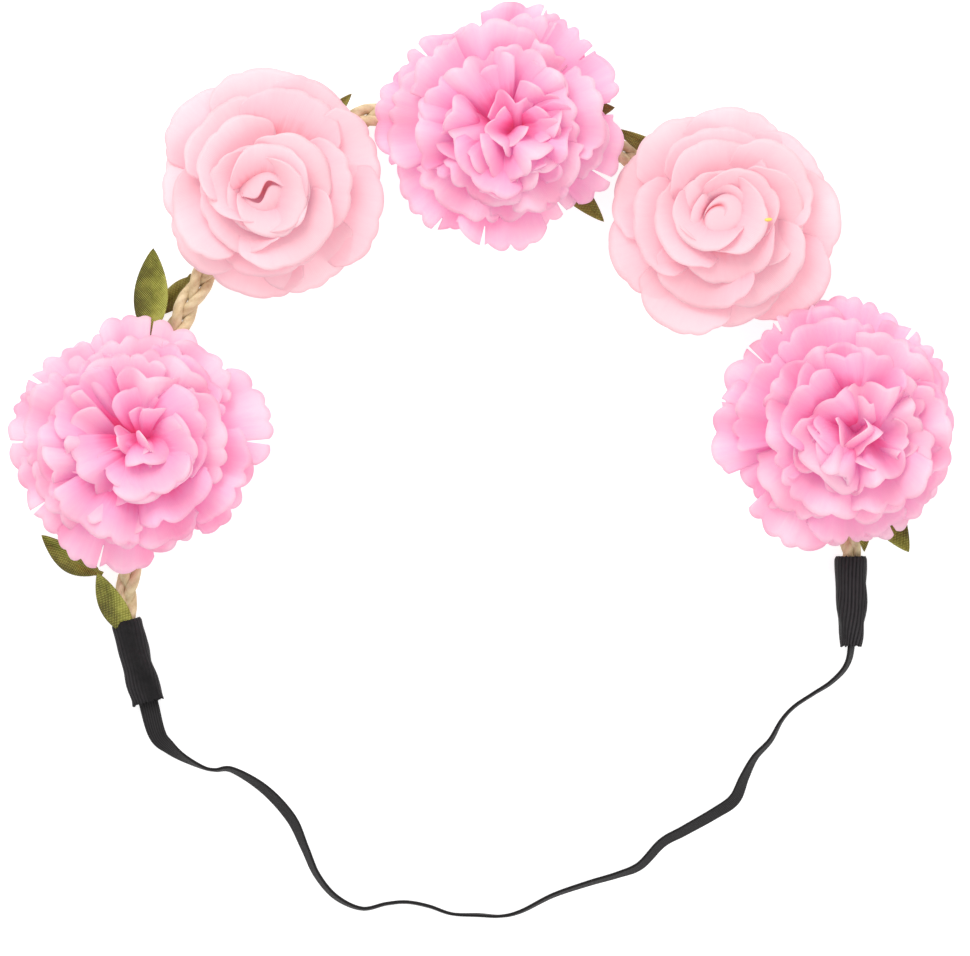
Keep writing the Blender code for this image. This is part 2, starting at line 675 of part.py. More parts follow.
clear_scene()
CROWN = new_collection("flower_crown")
CARNATION_CLOTH = principled("carnation_cloth", PETAL_PINK, 0.8)
BLUSH_CLOTH = principled("rose_cloth", BLUSH_PINK, 0.8)
LEAF_SATIN = principled("leaf_satin", LEAF_GREEN, 0.45)
BRAID_CORD = principled("braid_cord", BRAID_TAN, 0.9)
SLEEVE_WRAP = principled("sleeve_wrap", SLEEVE_BLACK, 0.75)
ELASTIC = principled("elastic", BAND_BLACK, 0.7)
HOT_GLUE = principled("hot_glue", GLUE_CLEAR, 0.35)
CALYX_PLASTIC = principled("calyx_plastic", CALYX_GREEN, 0.5)

ROOT = add_empty("crown_centre")
make_strands(ROOT)
make_sleeves(ROOT)
make_braid_leaves(ROOT)
make_flowers(ROOT)
make_band(ROOT)
bpy.context.view_layer.update()
centre_on_origin(ROOT, "elastic_band")
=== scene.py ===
"""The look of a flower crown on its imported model: petals, leaves, braid, ribbed sleeves and elastic."""

import json
import math

import bpy
import numpy as np
from mathutils import Matrix, Vector


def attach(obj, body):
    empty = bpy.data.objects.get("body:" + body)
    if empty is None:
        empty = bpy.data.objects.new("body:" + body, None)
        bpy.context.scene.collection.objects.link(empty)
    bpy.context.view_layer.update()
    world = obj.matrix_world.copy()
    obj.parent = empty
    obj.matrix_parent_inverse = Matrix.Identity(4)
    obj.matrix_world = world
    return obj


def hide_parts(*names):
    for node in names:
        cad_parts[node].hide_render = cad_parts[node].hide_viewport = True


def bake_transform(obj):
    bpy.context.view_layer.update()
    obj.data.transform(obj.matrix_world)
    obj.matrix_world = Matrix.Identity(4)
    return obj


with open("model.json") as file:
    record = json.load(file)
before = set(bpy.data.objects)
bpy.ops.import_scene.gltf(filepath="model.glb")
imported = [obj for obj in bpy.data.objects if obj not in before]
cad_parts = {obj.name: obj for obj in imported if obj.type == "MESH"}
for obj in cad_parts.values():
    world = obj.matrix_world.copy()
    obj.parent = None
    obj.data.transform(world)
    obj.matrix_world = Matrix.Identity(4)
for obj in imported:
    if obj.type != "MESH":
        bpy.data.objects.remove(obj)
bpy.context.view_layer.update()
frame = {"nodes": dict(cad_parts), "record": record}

MM = 0.001
UP = Vector((0, 0, 1))
ROOT = "braid_ring"
RECORD = frame["record"]
JOINTS = {joint["child"]: joint for joint in RECORD["behaviour"]["joints"]}
MOUNTS = {mount["name"]: Vector(mount["pos_m"]) for mount in RECORD["mounts"]}

# ---------------------------------------------------------------- where things are

FLOWERS = ("carnation_left", "rose_left", "carnation_top", "rose_right", "carnation_right")
RING_CENTRE = Vector((MOUNTS["head_seat"].x, MOUNTS["head_seat"].y, 0))
BRAID_HEIGHT = MOUNTS["head_seat"].z
RING_RADIUS = 85.5 * MM
# How far the braid bows out of the ring between one flower and the next.
BRAID_BOWS = (-1.5 * MM, 6.7 * MM, -0.7 * MM, -0.5 * MM)
SLEEVE_LENGTH, SLEEVE_GRIP = 20.3 * MM, 8.6 * MM
LEFT_HEADING, RIGHT_HEADING = -75.1, -90.0
# From each sleeve's mouth to the mount under it.
LEFT_MOUNT_REACH, RIGHT_MOUNT_REACH = 12.0 * MM, 10.1 * MM

# The elastic's route: share of the straight line between the sleeves' ends, distance below that line and
# the band's turn about its own length in degrees (0 lies flat).
BAND_WIDTH, BAND_THICKNESS = 4.7 * MM, 0.8 * MM
LEFT_END_HEIGHT, RIGHT_END_HEIGHT, RIGHT_END_TURN = 2.2 * MM, 3.3 * MM, 72.0
BAND_ROUTE = (
    (0.012, 7.8 * MM, 20.0),
    (0.029, 11.2 * MM, 46.0),
    (0.050, 14.1 * MM, 68.0),
    (0.079, 16.9 * MM, 83.0),
    (0.096, 17.7 * MM, 84.0),
    (0.120, 18.0 * MM, 75.0),
    (0.165, 23.2 * MM, 62.0),
    (0.203, 30.7 * MM, 59.0),
    (0.223, 38.2 * MM, 68.0),
    (0.240, 44.9 * MM, 73.0),
    (0.267, 50.6 * MM, 76.0),
    (0.304, 53.9 * MM, 82.0),
    (0.339, 53.2 * MM, 84.0),
    (0.368, 53.2 * MM, 84.0),
    (0.399, 54.6 * MM, 84.0),
    (0.432, 56.9 * MM, 86.0),
    (0.470, 57.7 * MM, 90.0),
    (0.502, 58.4 * MM, 86.0),
    (0.531, 57.6 * MM, 82.0),
    (0.576, 54.4 * MM, 79.0),
    (0.626, 52.2 * MM, 76.0),
    (0.668, 50.7 * MM, 73.0),
    (0.700, 48.9 * MM, 66.0),
    (0.731, 43.9 * MM, 62.0),
    (0.762, 41.4 * MM, 59.0),
    (0.807, 37.7 * MM, 55.0),
    (0.834, 34.8 * MM, 52.0),
    (0.848, 29.7 * MM, 62.0),
    (0.863, 25.1 * MM, 72.0),
    (0.885, 21.3 * MM, 77.0),
    (0.901, 16.7 * MM, 82.0),
    (0.919, 13.6 * MM, 83.0),
    (0.946, 10.9 * MM, 83.0),
    (0.972, 8.4 * MM, 80.0),
    (0.993, 4.8 * MM, 76.0),
)


def heading(degrees):
    return Vector((math.cos(math.radians(degrees)), math.sin(math.radians(degrees)), 0))


LEFT_MOUTH = MOUNTS["table_rest_left"] - heading(LEFT_HEADING) * LEFT_MOUNT_REACH
RIGHT_MOUTH = MOUNTS["table_rest_right"] - heading(RIGHT_HEADING) * RIGHT_MOUNT_REACH
LEFT_END = LEFT_MOUTH + heading(LEFT_HEADING) * SLEEVE_LENGTH
RIGHT_END = RIGHT_MOUTH + heading(RIGHT_HEADING) * SLEEVE_LENGTH


def smooth_route(points, steps):
    """Points of a smooth curve through the given ones, as an array."""
    p = np.array([2 * points[0] - points[1], *points, 2 * points[-1] - points[-2]])
    found = []
    for a, b, c, d in zip(p, p[1:], p[2:], p[3:]):
        for t in np.arange(steps) / steps:
            square, cube = 2 * a - 5 * b + 4 * c - d, 3 * b - a - 3 * c + d
            found.append(0.5 * (2 * b + t * (c - a) + t**2 * square + t**3 * cube))
    return np.array([*found, p[-2]])


def spaced(points, count, *others):
    """The same polyline at count equal steps along it, with any other rows of values carried along."""
    reach = np.concatenate(([0], np.cumsum(np.linalg.norm(np.diff(points, axis=0), axis=1))))
    wanted = np.linspace(0, reach[-1], count)
    columns = [np.stack([np.interp(wanted, reach, c) for c in points.T], axis=1)]
    return [*columns, *(np.interp(wanted, reach, other) for other in others), wanted]


def tangents(points):
    along = np.gradient(points, axis=0)
    return along / np.linalg.norm(along, axis=1)[:, None]


def flower_place(name):
    place = Vector(JOINTS[name]["pos_m"])
    return Vector((place.x, place.y, 0))


def flower_matrix(name):
    """A flower's own space: +X along its hinge, +Y inward and +Z up, with the braid's line at the origin."""
    along = Vector(JOINTS[name]["axis"]).normalized()
    turn = Matrix((along, UP.cross(along), UP)).transposed().to_4x4()
    return Matrix.Translation(JOINTS[name]["pos_m"]) @ turn


def braid_line():
    places = [flower_place(name) for name in FLOWERS]
    angles = [math.atan2((p - RING_CENTRE).y, (p - RING_CENTRE).x) for p in places]
    angles = [a + 2 * math.pi if a < -1 else a for a in angles]
    points = [LEFT_MOUTH + heading(LEFT_HEADING) * SLEEVE_GRIP, LEFT_MOUTH, LEFT_MOUTH.lerp(places[0], 0.5)]
    for k, place in enumerate(places):
        points.append(place)
        if k < len(BRAID_BOWS):
            middle = heading(math.degrees(angles[k] + angles[k + 1]) / 2)
            points.append(RING_CENTRE + middle * (RING_RADIUS + BRAID_BOWS[k]))
    points += [RIGHT_MOUTH.lerp(places[-1], 0.5), RIGHT_MOUTH]
    points.append(RIGHT_MOUTH + heading(RIGHT_HEADING) * SLEEVE_GRIP)
    return smooth_route([np.array((p.x, p.y, BRAID_HEIGHT)) for p in points], 12)


# ---------------------------------------------------------------- making meshes


class Surface:
    """Grids of points gathered into one mesh, each point with named values for the materials to read."""

    def __init__(self):
        self.points, self.faces, self.values, self.count = [], [], {}, 0
        self.flat_area = 0.0

    def grid(self, points, closed=False, **values):
        """points is rows x columns x 3. closed joins the last column to the first."""
        rows, columns = points.shape[:2]
        index = np.arange(rows * columns).reshape(rows, columns) + self.count
        if closed:
            index = np.concatenate((index, index[:, :1]), axis=1)
        quads = np.stack((index[:-1, :-1], index[:-1, 1:], index[1:, 1:], index[1:, :-1]), axis=-1)
        self.faces.append(quads.reshape(-1, 4))
        self.points.append(points.reshape(-1, 3))
        for name, value in values.items():
            spread = np.broadcast_to(value, (rows, columns)).reshape(-1)
            self.values.setdefault(name, []).append(spread)
        self.count += rows * columns

    def fan(self, ring, values):
        """Closes an end of a tube with a face to each pair of neighbours, round its middle."""
        middle = ring.mean(axis=0)
        index = np.arange(len(ring)) + self.count + 1
        nexts = np.roll(index, -1)
        hub = np.full(len(ring), self.count)
        self.faces.append(np.stack((hub, index, nexts, nexts), axis=-1))
        self.points.append(np.concatenate(([middle], ring)))
        for name in self.values:
            self.values[name].append(np.full(len(ring) + 1, values.get(name, 0.0)))
        self.count += len(ring) + 1

    def object(self, name, material, matrix=None, thickness=0.0):
        mesh = bpy.data.meshes.new(name)
        points = np.concatenate(self.points)
        faces = [tuple(dict.fromkeys(face)) for face in np.concatenate(self.faces).tolist()]
        mesh.from_pydata(points.tolist(), [], faces)
        for key, value in self.values.items():
            layer = mesh.attributes.new(key, "FLOAT", "POINT")
            layer.data.foreach_set("value", np.concatenate(value).astype(np.float32))
        if matrix:
            mesh.transform(matrix)
        mesh.shade_smooth()
        mesh.materials.append(material)
        thing = bpy.data.objects.new(name, mesh)
        bpy.context.scene.collection.objects.link(thing)
        if thickness:
            shell = thing.modifiers.new("cloth", "SOLIDIFY")
            shell.thickness = thickness
            shell.offset = 0
        return thing


# ---------------------------------------------------------------- materials


class Nodes:
    """Short calls for building one material's nodes."""

    def __init__(self, name):
        self.material = bpy.data.materials.new(name)
        self.material.use_nodes = True
        self.tree = self.material.node_tree
        self.shader = self.tree.nodes["Principled BSDF"]

    def new(self, kind, links=None, **settings):
        node = self.tree.nodes.new(kind)
        for key, value in settings.items():
            setattr(node, key, value)
        for key, value in (links or {}).items():
            self.put(node.inputs[key], value)
        return node

    def put(self, socket, value):
        if isinstance(value, bpy.types.NodeSocket):
            self.tree.links.new(value, socket)
        else:
            socket.default_value = value

    def set(self, **values):
        for key, value in values.items():
            self.put(self.shader.inputs[key.replace("_", " ").title().replace("Ior", "IOR")], value)

    def value(self, name):
        return self.new("ShaderNodeAttribute", attribute_name=name).outputs["Fac"]

    def maths(self, operation, a, b=0.5, c=0.5):
        return self.new("ShaderNodeMath", {0: a, 1: b, 2: c}, operation=operation).outputs[0]

    def place(self):
        return self.new("ShaderNodeTexCoord").outputs["Object"]

    def noise(self, scale, detail=2.0, roughness=0.5, vector=None):
        links = {"Vector": vector or self.place(), "Scale": scale, "Detail": detail, "Roughness": roughness}
        return self.new("ShaderNodeTexNoise", links).outputs["Fac"]

    def ramp(self, factor, stops):
        node = self.new("ShaderNodeValToRGB", {"Fac": factor})
        band = node.color_ramp.elements
        while len(band) < len(stops):
            band.new(0.5)
        for element, (place, colour) in zip(band, stops):
            element.position = place
            element.color = (*colour, 1.0)
        return node.outputs["Color"]

    def mix(self, factor, a, b, blend="MIX"):
        node = self.new("ShaderNodeMix", data_type="RGBA", blend_type=blend)
        self.put(node.inputs["Factor"], factor)
        self.put(node.inputs["A"], a if isinstance(a, bpy.types.NodeSocket) else (*a, 1.0))
        self.put(node.inputs["B"], b if isinstance(b, bpy.types.NodeSocket) else (*b, 1.0))
        return node.outputs["Result"]

    def bump(self, height, strength, distance):
        links = {"Height": height, "Strength": strength, "Distance": distance}
        self.put(self.shader.inputs["Normal"], self.new("ShaderNodeBump", links).outputs["Normal"])


def linear(red, green, blue):
    """An sRGB colour from 0 to 255 as linear numbers."""
    channels = (red, green, blue)
    return tuple((c / 255 / 12.92) if c <= 10 else ((c / 255 + 0.055) / 1.055) ** 2.4 for c in channels)


def petal_cloth(name, heart, deep, middle, pale, crease, glow):
    """Thin woven cloth that lets light through. Its colour is deeper at a petal's foot, partly the dye and
    partly painted shade, paler at the rim as a painted highlight on the thin edge, and darker in its folds as
    painted shade.
    """
    n = Nodes(name)
    reach, fold, vary = n.value("reach"), n.value("fold"), n.value("vary")
    blotch = n.noise(220.0, 3.0)
    along = n.maths("MULTIPLY_ADD", blotch, 0.22, n.maths("ADD", reach, -0.11))
    along = n.maths("MULTIPLY_ADD", vary, 0.26, n.maths("ADD", along, -0.13))
    across = n.value("across")
    radial = n.new("ShaderNodeCombineXYZ", {"X": across, "Y": n.maths("MULTIPLY", reach, 1.5)}).outputs[0]
    along = n.maths("MULTIPLY_ADD", n.noise(0.9, 3.0, 0.6, radial), 0.34, n.maths("ADD", along, -0.17))
    # Along the petal: dye deepening to the foot mixed with painted shade there, and a painted highlight at
    # the rim.
    dye_shade_and_highlight = n.ramp(along, ((0.12, heart), (0.29, deep), (0.57, middle), (0.98, pale)))
    # Painted shade in the folds: where the pleats dip, the colour goes deeper by crease.
    colour = n.mix(n.maths("MULTIPLY", n.maths("SUBTRACT", 0.6, fold), crease), dye_shade_and_highlight, deep)
    n.set(base_color=colour, specular_ior_level=0.2, sheen_weight=0.1, sheen_roughness=0.5)
    n.set(emission_color=(*glow, 1.0), emission_strength=1.0)
    n.set(roughness=n.maths("MULTIPLY_ADD", blotch, 0.12, 0.7))
    veins = n.new("ShaderNodeTexWave", {"Scale": 1.0, "Distortion": 2.5, "Detail": 2.0})
    n.put(veins.inputs["Vector"], n.new("ShaderNodeCombineXYZ", {"X": across, "Y": reach}).outputs[0])
    weave = n.noise(5200.0, 1.0)
    height = n.maths("MULTIPLY_ADD", veins.outputs["Fac"], 0.5, n.maths("MULTIPLY", weave, 0.35))
    n.bump(height, 0.3, 0.0002)
    through = n.new("ShaderNodeBsdfTranslucent", {"Color": n.mix(0.5, colour, middle)})
    both = n.new("ShaderNodeMixShader", {0: 0.45})
    n.put(both.inputs[1], n.shader.outputs[0])
    n.put(both.inputs[2], through.outputs[0])
    n.put(n.tree.nodes["Material Output"].inputs["Surface"], both.outputs[0])
    return n.material


def leaf_satin(name):
    """Olive satin ribbon with a crossed weave, its threads painted lighter as both the weave and painted
    glints, one side painted darker as painted shade, and some leaves browner than others.
    """
    n = Nodes(name)
    along, across, vary = n.value("along"), n.value("across"), n.value("vary")
    warp = n.new("ShaderNodeTexWave", {"Scale": 0.75, "Distortion": 2.2, "Detail": 2.0})
    slant = n.maths("MULTIPLY_ADD", along, 0.6, across)
    n.put(warp.inputs["Vector"], n.new("ShaderNodeCombineXYZ", {"X": slant}).outputs[0])
    weft = n.new("ShaderNodeTexWave", {"Scale": 0.6, "Distortion": 2.6, "Detail": 2.0})
    askew = n.maths("MULTIPLY_ADD", across, -0.9, along)
    n.put(weft.inputs["Vector"], n.new("ShaderNodeCombineXYZ", {"X": askew}).outputs[0])
    threads = n.maths("MULTIPLY", warp.outputs["Fac"], weft.outputs["Fac"])
    # The threads also paint the colour lighter: partly the weave's own pattern, partly painted glints on its
    # threads.
    shade = n.maths("MULTIPLY_ADD", n.noise(260.0, 4.0, 0.6), 0.66, n.maths("MULTIPLY", threads, 0.5))
    # Painted shade: the leaf is darker on one side of its middle.
    shade = n.maths("MULTIPLY_ADD", across, -0.045, shade)
    green = n.ramp(
        shade, ((0.25, linear(58, 52, 4)), (0.47, linear(114, 114, 30)), (0.75, linear(188, 188, 94)))
    )
    brown = n.mix(n.maths("MULTIPLY", vary, 0.85), green, linear(112, 86, 44))
    n.set(base_color=brown, specular_ior_level=0.3)
    n.set(roughness=n.maths("MULTIPLY_ADD", threads, -0.18, 0.5))
    n.bump(threads, 0.5, 0.0002)
    return n.material


def cord_fibre(name):
    """Tan twisted cord: fine fibres that follow the twist, with painted shade in the grooves between the
    plies.
    """
    n = Nodes(name)
    along, around, groove = n.value("along"), n.value("around"), n.value("groove")
    slanted = n.new("ShaderNodeCombineXYZ", {"X": n.maths("MULTIPLY", along, 0.35), "Y": around}).outputs[0]
    fibre = n.noise(5.0, 4.0, 0.65, slanted)
    patch = n.noise(300.0, 2.0)
    tone = n.maths("MULTIPLY_ADD", fibre, 0.55, n.maths("MULTIPLY", patch, 0.45))
    tan = n.ramp(
        tone, ((0.25, linear(180, 150, 108)), (0.5, linear(217, 198, 158)), (0.78, linear(240, 228, 200)))
    )
    # Painted shade: the grooves between the plies are darker and browner.
    n.set(base_color=n.mix(n.maths("MULTIPLY", groove, 0.35), tan, linear(140, 96, 60)))
    n.set(roughness=n.maths("MULTIPLY_ADD", fibre, 0.2, 0.72), specular_ior_level=0.2)
    n.bump(fibre, 0.6, 0.0002)
    return n.material


def black_elastic(name, dark, light, pitch):
    """Black ribbed elastic: yarns run its length and small stitches cross them, and its rib crests are
    painted lighter as painted glints.
    """
    n = Nodes(name)
    along, rib = n.value("along"), n.value("rib")
    stitch = n.new("ShaderNodeTexWave", {"Scale": pitch, "Distortion": 1.2, "Detail": 2.0})
    n.put(stitch.inputs["Vector"], n.new("ShaderNodeCombineXYZ", {"X": along, "Y": rib}).outputs[0])
    lint = n.noise(900.0, 4.0, 0.7)
    # Painted highlight: the rib crests are lighter, standing for the glints on them.
    tone = n.maths("MULTIPLY_ADD", rib, 0.45, n.maths("MULTIPLY", lint, 0.35))
    tone = n.maths("MULTIPLY_ADD", stitch.outputs["Fac"], 0.2, tone)
    n.set(base_color=n.ramp(tone, ((0.2, dark), (0.85, light))))
    n.set(roughness=n.maths("MULTIPLY_ADD", lint, 0.3, 0.36), specular_ior_level=0.14)
    n.bump(n.maths("MULTIPLY_ADD", stitch.outputs["Fac"], 0.5, n.maths("MULTIPLY", lint, 0.5)), 0.5, 0.0002)
    return n.material


def moulded(name, colour, roughness, spread):
    """Plain moulded plastic or glue, slightly uneven in tone and gloss."""
    n = Nodes(name)
    cloud = n.noise(400.0, 3.0)
    n.set(base_color=n.ramp(cloud, ((0.3, tuple(c * (1 - spread) for c in colour)), (0.7, colour))))
    n.set(roughness=n.maths("MULTIPLY_ADD", cloud, 0.2, roughness - 0.1))
    n.bump(cloud, 0.3, 0.0001)
    return n.material


# The glow stands for the light that wanders between layers of thin cloth before it leaves them.
CARNATION = petal_cloth(
    "carnation_cloth",
    heart=linear(252, 40, 78),
    deep=linear(250, 108, 160),
    middle=linear(250, 191, 216),
    pale=linear(250, 224, 226),
    crease=0.5,
    glow=(0.1, 0.05, 0.145),
)
ROSE = petal_cloth(
    "rose_cloth",
    heart=linear(255, 128, 112),
    deep=linear(250, 156, 162),
    middle=linear(250, 208, 214),
    pale=linear(250, 224, 225),
    crease=0.22,
    glow=(0.1, 0.1, 0.14),
)
LEAF = leaf_satin("leaf_satin")
CORD = cord_fibre("braid_cord")
# Each light colour is reached on the rib crests, as painted glints.
SLEEVE = black_elastic("sleeve_wrap", linear(8, 7, 8), linear(60, 57, 59), 2.0)
BAND = black_elastic("elastic", linear(8, 7, 7), linear(48, 46, 47), 1.6)
SPECK = moulded("glue_speck", linear(250, 214, 96), 0.35, 0.12)
GLUE = moulded("hot_glue", linear(226, 210, 168), 0.4, 0.15)
PLASTIC = moulded("calyx_plastic", linear(92, 132, 70), 0.45, 0.25)


def finish_piece(piece, body, slot, *nodes):
    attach(piece, body)
    if nodes:
        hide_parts(*nodes)


# ---------------------------------------------------------------- petals

CLOTH = 0.22 * MM
COLUMNS, ROWS = 41, 16


def waves(rng, u, count, low, high):
    """A smooth random height across a petal, from -1 to 1 or so, made of a few sine waves."""
    total = 0 * u
    for _ in range(count):
        total = total + np.sin(math.pi * rng.uniform(low, high) * u + rng.uniform(0, 2 * math.pi))
    return total / count**0.5


def petal(
    surface, rng, look, heading_deg, length, fan, lift, droop, base, pleat, cup, scatter, slits, middle
):
    """One fan of cloth, in millimetres and degrees: it starts at a foot by the flower's axis, rises at lift
    and ends at droop, is pleated along its length and, with a cup radius, rolled about its length."""
    cuts = [rng.uniform(-0.65, 0.65) for _ in range(slits)]
    columns = [np.linspace(-1, 1, COLUMNS)] + [np.array((-0.055, -0.012, 0.012, 0.055)) + cut for cut in cuts]
    u = np.sort(np.concatenate(columns))[None, :]
    v = np.linspace(0.03, 1, ROWS)[:, None] ** 0.85
    steep = lift / 90
    lobes = max(2, round(2 * length * math.sin(math.radians(fan) / 2) / look["lobe"] * (1 - 0.3 * steep)))
    warped = u + 0.11 * np.sin(3.7 * u + rng.uniform(0, 6))
    bumps = np.abs(np.cos(math.pi * lobes / 2 * warped + rng.uniform(-0.6, 0.6)))
    nick = look["nick"] / length * (1 + 0.45 * np.sin(4.1 * u + rng.uniform(0, 6)))
    rim = 1 - look["round"] * np.abs(u) ** look["corner"] - nick * (1 - bumps**0.7)
    rim = rim + 0.02 * waves(rng, u, 2, 0.5, 1.2)
    for cut in cuts:
        rim = rim - look["slit"] / length * rng.uniform(0.6, 1.2) * (np.abs(u - cut) < 0.02)
    reach = v * (1 - v**3 * (1 - rim))
    spread = math.radians(fan * (1 + look["paddle"] / 3))
    surface.flat_area += float(np.mean(rim**2)) * (length * MM) ** 2 / 2 * spread
    phi = u * math.radians(fan) / 2 * (1 + look["paddle"] * (1 - v))
    x, y = length * reach * np.cos(phi), length * reach * np.sin(phi)
    fine = np.linspace(0, 1.1, 240)
    lift_now, droop_now = lift + rng.normal(0, 3), droop + rng.normal(0, look["limp"])
    slope = np.radians(lift_now + (droop_now - lift_now) * np.minimum(fine, 1.0) ** look["bend"])
    step = length * fine[1]
    out = np.concatenate(([0], np.cumsum(np.cos(slope))[:-1])) * step
    high = np.concatenate(([0], np.cumsum(np.sin(slope))[:-1])) * step
    far, tall = np.interp(x / length, fine, out), np.interp(x / length, fine, high)
    lean = np.interp(x / length, fine, slope)
    folds = waves(rng, u * (1 - 0.35 * steep), 3, *look["waves"])
    push = pleat * folds * reach**1.4
    push = push + look["crimp"] * (bumps - 0.5) * np.clip(v - 0.7, 0, 1) * 3.3
    push = push + rng.uniform(*look["curl"]) * np.clip(reach - 0.72, 0, 1) ** 2 * 12
    push = push + look["sag"] * waves(rng, 2 * reach + 0.6 * u, 1, 0.8, 1.4)
    if cup:
        push = push + cup * (1 - np.cos(np.clip(y / cup, -1.7, 1.7)))
        y = cup * np.sin(np.clip(y / cup, -1.7, 1.7))
    roll = math.radians(rng.normal(look["roll"], 4)) * reach
    push, y = push * np.cos(roll) + y * np.sin(roll), y * np.cos(roll) - push * np.sin(roll)
    along, level = far - np.sin(lean) * push, tall + np.cos(lean) * push
    turn = math.radians(heading_deg)
    foot = middle + rng.normal(0, scatter, 2)
    east = foot[0] + along * math.cos(turn) - y * math.sin(turn)
    north = foot[1] + along * math.sin(turn) + y * math.cos(turn)
    # reach sets the colour: deeper towards the foot, partly dye and partly painted shade, and deeper still on
    # steep inner petals as painted shade in the flower's middle. fold carries the pleats for painted shade in
    # their troughs.
    surface.grid(
        np.stack((east, north, base + level), axis=-1) * MM,
        reach=reach ** (1 + look["shade"] * steep),
        fold=np.clip(0.5 + 0.4 * folds * reach, 0, 1),
        vary=rng.uniform(0, 1),
        across=u * length * math.radians(fan) / 2 / 1.4,
    )


CARNATION_LOOK = {
    "lobe": 5.6,
    "nick": 1.5,
    "slit": 5.0,
    "shade": 0.75,
    "round": 0.09,
    "corner": 4.0,
    "paddle": 0.0,
    "limp": 7,
    "bend": 1.5,
    "waves": (1.2, 2.4),
    "crimp": 0.35,
    "curl": (-1.6, 1.0),
    "sag": 0.35,
    "roll": 0,
}
ROSE_LOOK = {
    "lobe": 6.5,
    "nick": 0.55,
    "slit": 0.0,
    "shade": 0.45,
    "round": 0.16,
    "corner": 2.6,
    "paddle": 0.35,
    "limp": 4,
    "bend": 1.3,
    "waves": (0.6, 1.5),
    "crimp": 0.1,
    "curl": (-1.8, -0.6),
    "sag": 0.2,
    "roll": 7,
}
# Node, petals, length, fan, lift, droop, foot's height, pleat and cup radius of each stamped disc, outermost
# first. A flower's own headings replace the outermost disc's even spacing.
CARNATION_DISCS = (
    ("petals_outer", 9, 28.5, 50, 10, -4, 6.2, 1.0, 0, 0.6),
    ("petals_outer", 6, 27.0, 60, 22, -2, 7.0, 1.6, 0, 0.6),
    ("petals_second", 6, 26.0, 58, 40, 2, 7.6, 2.4, 0, 0.9),
    ("petals_third", 5, 24.5, 60, 54, 2, 8.4, 2.8, 0, 1.4),
    ("petals_third", 5, 22.5, 60, 62, 8, 9.0, 3.0, 0, 1.8),
    ("petals_core", 5, 20.0, 58, 68, 14, 9.4, 3.0, 24, 2.0),
    ("petals_core", 4, 16.0, 50, 76, 34, 10.0, 2.4, 12, 1.8),
)
ROSE_DISCS = (
    ("petals_outer", 8, 26.0, 62, 12, -8, 6.2, 0.9, 0, 0.4),
    ("petals_outer", 5, 24.0, 78, 26, -4, 7.0, 0.9, 34, 0.5),
    ("petals_second", 4, 20.5, 96, 46, -2, 7.8, 1.0, 22, 0.9),
    ("petals_inner", 4, 16.8, 100, 68, 6, 8.8, 0.7, 11, 0.9),
)
# Each flower's petals lie flatter, and show more of their length, towards this heading in degrees.
LEANS = {
    "carnation_left": 140,
    "rose_left": 200,
    "carnation_top": 80,
    "rose_right": 90,
    "carnation_right": 20,
}
# How much of a petal's rise that lean takes away or adds, as a share.
LEAN = {"carnation": 0.45, "rose": 0.22}
# How far each flower's middle sits from the middle of its outline, along +X and +Y, in millimetres.
OFF_CENTRE = {
    "carnation_left": (3.4, -1.0),
    "rose_left": (-0.8, -2.4),
    "carnation_top": (1.4, -2.8),
    "rose_right": (0.0, 1.8),
    "carnation_right": (2.8, -1.2),
}
# Headings in degrees, anticlockwise from +X, and lengths of each flower's outermost petals.
OUTER_PETALS = {
    "carnation_left": (
        *((13, 32.5), (-26, 31), (-62, 27), (-104, 32.5), (-148, 29.5)),
        *((178, 31), (140, 29), (84, 31.5), (48, 28.5), (112, 28)),
    ),
    "rose_left": (
        *((96, 28.5), (55, 28), (16, 28), (-20, 29), (-60, 28)),
        *((-100, 28), (-142, 27), (178, 27), (136, 27.5)),
    ),
    "carnation_top": (
        *((72, 30), (38, 31.5), (4, 25), (-22, 30.5), (-56, 27)),
        *((-90, 29.5), (-138, 29), (174, 30), (142, 28.5), (112, 27)),
    ),
    "rose_right": (
        *((84, 27.5), (40, 28), (2, 28.5), (-40, 29), (-82, 26)),
        *((-118, 28), (-160, 28), (158, 28), (122, 27.5)),
    ),
    "carnation_right": (
        *((84, 31), (42, 31), (6, 28), (-22, 28), (-56, 28)),
        *((-114, 31), (-150, 27), (177, 30), (140, 31), (110, 30)),
    ),
}


def add_heart(surface, middle):
    """The small dished disc where the innermost petals meet."""
    theta = np.linspace(0, 2 * math.pi, 36, endpoint=False)[None, :]
    r = np.linspace(0.002, 1, 8)[:, None]
    dish = np.stack((4 * r * np.cos(theta), 4 * r * np.sin(theta), 10.6 + 1.6 * r**2 + 0 * theta), axis=-1)
    dish = dish + np.array((*middle, 0))
    # The dish takes the heart colour: partly the dye, partly painted shade deep in the flower's middle.
    surface.grid(dish * MM, closed=True, reach=0.0, fold=0.5, vary=0.5, across=0.0)


